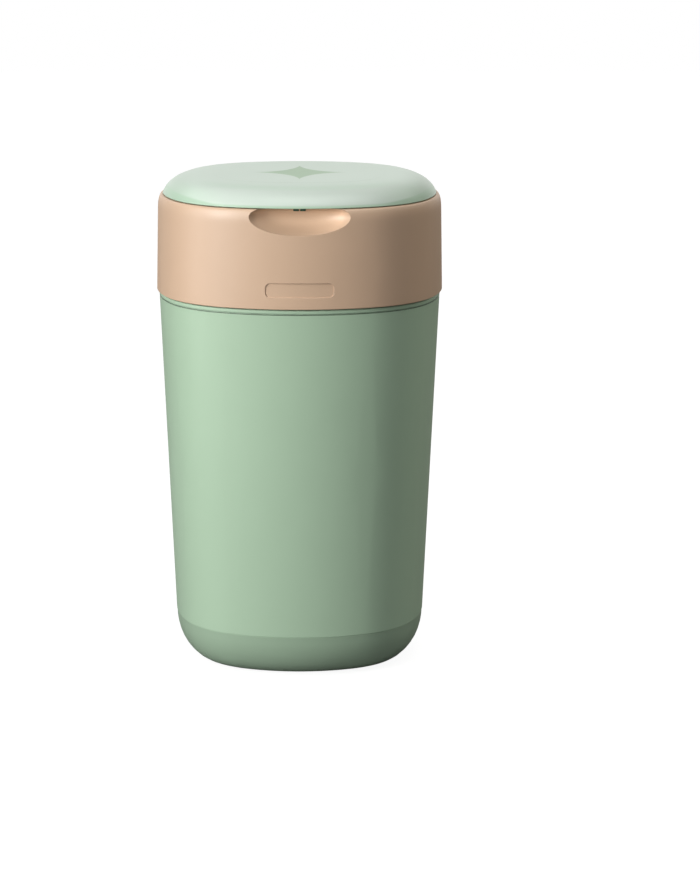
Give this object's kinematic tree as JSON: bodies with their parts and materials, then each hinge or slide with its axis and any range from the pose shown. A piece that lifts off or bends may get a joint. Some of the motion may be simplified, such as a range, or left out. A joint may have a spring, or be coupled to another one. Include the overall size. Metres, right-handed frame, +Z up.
{
  "type": "nappy bin",
  "caption": "Tall rounded-square nappy bin: tapered bucket, tilting head with a thumb scoop, hinged domed lid, twisting film cassette and film cutter.",
  "frame": {"origin": "on the floor, under the middle of the bin", "axes": "+Z up; the thumb scoop faces -Y and the hinges are at +Y; +X is to the right as seen from the front"},
  "size_m": [0.2408, 0.2408, 0.4115],
  "materials": {
    "mint": "satin sage green moulded plastic",
    "pale_mint": "pale green plastic",
    "sand": "satin sand-coloured moulded plastic",
    "pale_sand": "pale sand plastic",
    "greige": "grey-beige plastic",
    "steel": "bright steel",
    "film": "thin pale blue film",
    "rubber": "soft grey-green rubber"
  },
  "bodies": {
    "bin_body": {"bucket": "mint", "foot_pads": "rubber", "head_hinge_pin": "steel"},
    "head": {"collar": "sand", "deck": "pale_sand", "deck_screws": "steel", "film_grip": "pale_mint", "grip_screws": "steel", "click_spring": "steel", "cutter_rail": "pale_sand", "rail_screws": "steel", "lid_hinge_pin": "steel"},
    "cutter": {"cutter_slider": "mint", "cutter_blade": "steel"},
    "lid_body": {"lid": "mint", "lid_liner": "pale_mint", "liner_screws": "steel", "lid_seal": "rubber", "lid_catch": "mint", "star_inlay": "pale_mint"},
    "carousel": {"turntable": "pale_mint", "twist_ring": "mint", "cassette_tub": "greige", "cassette_tube": "greige", "cassette_cover": "greige", "film_pack": "film"}
  },
  "joints": [
    {"name": "head_tilt", "type": "hinge", "parent": "bin_body", "child": "head", "pos_m": [0, 0.1149, 0.311], "axis": [-1, 0, 0], "range_deg": [0, 95]},
    {"name": "lid_swing", "type": "hinge", "parent": "head", "child": "lid_body", "pos_m": [0, 0.11, 0.389], "axis": [-1, 0, 0], "range_deg": [0, 100]},
    {"name": "film_twist", "type": "hinge", "parent": "head", "child": "carousel", "pos_m": [0, 0, 0.35], "axis": [0, 0, 1], "continuous": true},
    {"name": "cutter_slide", "type": "slide", "parent": "head", "child": "cutter", "axis": [1, 0, 0], "range_m": [-0.028, 0.028]}
  ]
}
